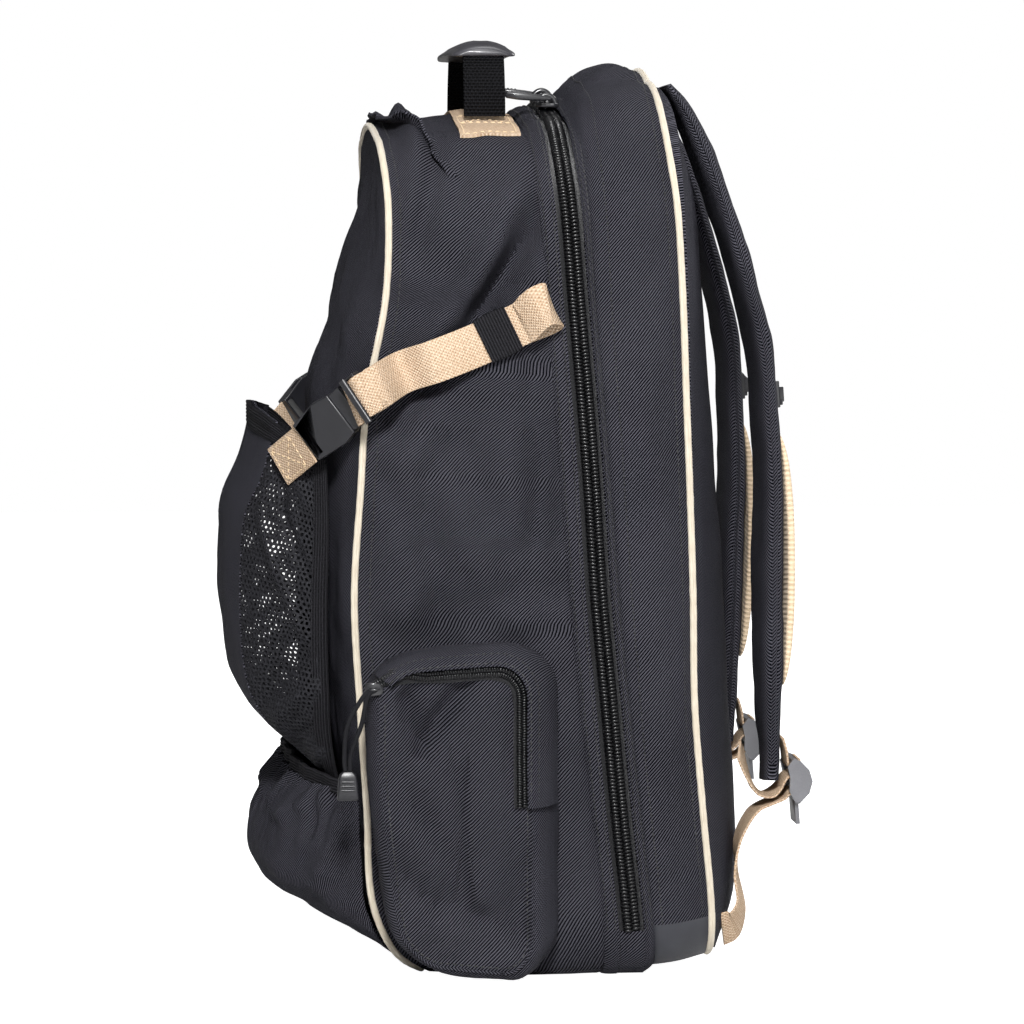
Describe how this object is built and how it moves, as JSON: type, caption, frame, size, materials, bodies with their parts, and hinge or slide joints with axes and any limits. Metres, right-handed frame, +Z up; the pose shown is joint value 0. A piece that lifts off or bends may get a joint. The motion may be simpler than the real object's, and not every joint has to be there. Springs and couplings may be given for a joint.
{
  "type": "equestrian backpack",
  "caption": "Tall ringside backpack: twill body with a coil zip round it, cream piping, side pockets, a net-sided helmet sling over a lower pocket, buckled straps, grip and padded harness.",
  "frame": {"origin": "middle of the footprint on the ground, under the standing bag", "axes": "+X towards the wearer's right, +Y from the front of the bag to the wearer's back, +Z up"},
  "size_m": [0.431, 0.3558, 0.56],
  "materials": {
    "twill": "matt black polyester twill",
    "coated_base": "dark grey coated cloth",
    "piping": "cream piping",
    "tan_webbing": "tan woven webbing",
    "black_webbing": "black ribbed webbing",
    "elastic": "black ribbed elastic",
    "net": "black open net",
    "zip_coil": "black coil zip",
    "plastic": "moulded dark grey plastic"
  },
  "bodies": {
    "root": {"front_gusset": "twill", "zip_flap_front": "twill", "zip_flap_rear": "twill", "base_hinge": "twill", "rear_gusset": "twill", "rear_base_cover": "coated_base", "front_panel": "twill", "back_pad": "twill", "front_piping": "piping", "rear_piping": "piping", "main_zip_tape": "zip_coil", "main_zip_coil": "zip_coil", "main_slider_left": "plastic", "main_slider_right": "plastic", "main_pull_left": "plastic", "main_pull_right": "plastic", "helmet_sling_panel": "twill", "sling_net_left": "net", "sling_net_right": "net", "sling_edge_elastic_left": "elastic", "sling_edge_elastic_right": "elastic", "sling_patch_left": "tan_webbing", "sling_patch_right": "tan_webbing", "lower_pocket": "twill", "lower_pocket_hem": "elastic", "side_pocket_left": "twill", "side_pocket_right": "twill", "pocket_hood_left": "twill", "pocket_hood_right": "twill", "pocket_zip_left": "zip_coil", "pocket_zip_right": "zip_coil", "pocket_zip_pull_left": "plastic", "pocket_zip_pull_right": "plastic", "side_strap_left": "tan_webbing", "side_strap_right": "tan_webbing", "strap_keeper_left": "elastic", "strap_keeper_right": "elastic", "buckle_socket_left": "plastic", "buckle_socket_right": "plastic", "buckle_plug_left": "plastic", "buckle_plug_right": "plastic", "handle_patch": "tan_webbing", "handle_leg_left": "black_webbing", "handle_leg_right": "black_webbing", "handle_grip": "plastic", "shoulder_strap_left": "twill", "shoulder_strap_right": "twill", "strap_lining_left": "tan_webbing", "strap_lining_right": "tan_webbing", "chest_slider_left": "plastic", "chest_slider_right": "plastic", "ladder_lock_left": "plastic", "ladder_lock_right": "plastic", "strap_loop_left": "tan_webbing", "strap_loop_right": "tan_webbing", "lower_webbing_left": "tan_webbing", "lower_webbing_right": "tan_webbing"}
  },
  "joints": []
}
